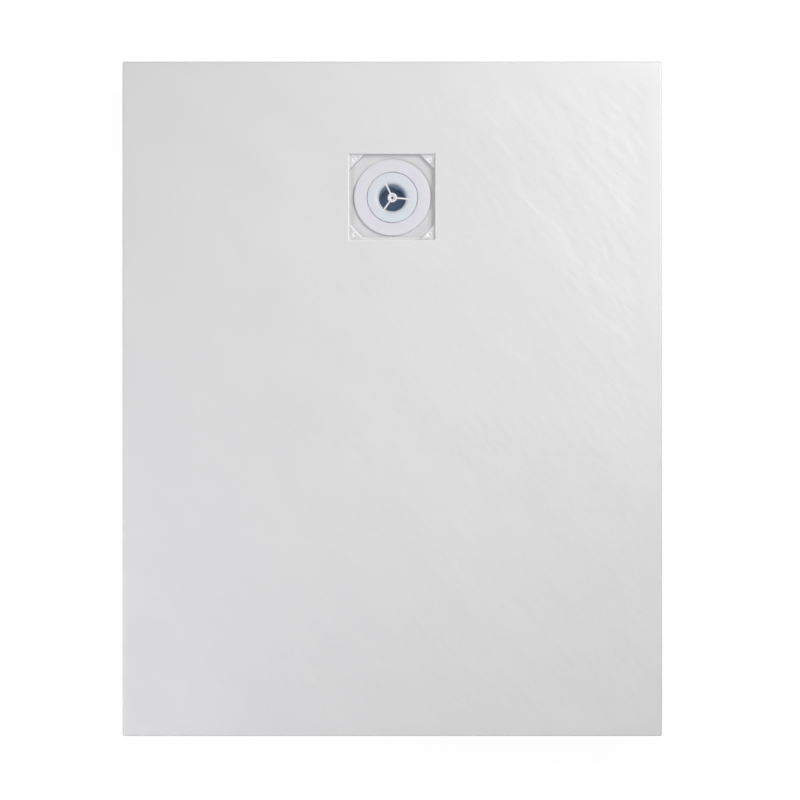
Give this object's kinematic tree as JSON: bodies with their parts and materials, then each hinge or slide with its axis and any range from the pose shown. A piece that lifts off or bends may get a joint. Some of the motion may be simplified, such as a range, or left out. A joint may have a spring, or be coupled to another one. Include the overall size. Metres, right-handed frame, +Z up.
{
  "type": "shower tray",
  "caption": "Low rectangular slate-effect shower tray in white cast resin, with a square cover recess near one end, a waste flange, a lift-out insert and a trap with a swivel outlet.",
  "frame": {"origin": "the middle of the tray's underside", "axes": "+Z up, +Y towards the end where the drain is, +X to the right when looking along +Y"},
  "size_m": [0.8, 1, 0.101],
  "materials": {
    "tray_casting": "satin",
    "flange_plastic": "satin",
    "insert_plastic": "satin",
    "trap_plastic": "satin",
    "tube_plastic": "satin",
    "nut_plastic": "satin",
    "washer_plastic": "matte",
    "seal_rubber": "matte"
  },
  "bodies": {
    "root": {"tray": "tray_casting", "waste_flange": "flange_plastic", "flange_gasket": "seal_rubber", "underside_seal": "seal_rubber", "trap_neck": "trap_plastic", "trap_bowl": "trap_plastic", "outlet_chamber": "trap_plastic", "outlet_socket": "trap_plastic", "ball_seal": "seal_rubber"},
    "insert_seal": {"insert_o_ring": "seal_rubber"},
    "insert": {"trap_insert": "insert_plastic", "insert_tube": "tube_plastic"},
    "outlet": {"outlet_tail": "trap_plastic"},
    "washer": {"slip_washer": "washer_plastic"},
    "nut": {"union_nut": "nut_plastic"}
  },
  "joints": [
    {"name": "insert_lift", "type": "slide", "parent": "root", "child": "insert_seal", "axis": [0, 0, 1], "range_m": [0, 0.1]},
    {"name": "insert_turn", "type": "hinge", "parent": "insert_seal", "child": "insert", "pos_m": [0, 0.3, 0.016], "axis": [0, 0, 1], "continuous": true},
    {"name": "outlet_swivel", "type": "hinge", "parent": "root", "child": "outlet", "pos_m": [0, 0.3795, -0.037], "axis": [0, 0, 1], "range_deg": [-10, 10]},
    {"name": "nut_turn", "type": "hinge", "parent": "root", "child": "washer", "pos_m": [0, 0.3795, -0.037], "axis": [0, 1, 0], "range_deg": [0, 540]},
    {"name": "nut_travel", "type": "slide", "parent": "washer", "child": "nut", "axis": [0, 1, 0], "range_m": [0, 0.0045]}
  ],
  "couplings": [
    {"joint": "nut_travel", "follows": "nut_turn", "m_per_rad": 0.00047746}
  ]
}
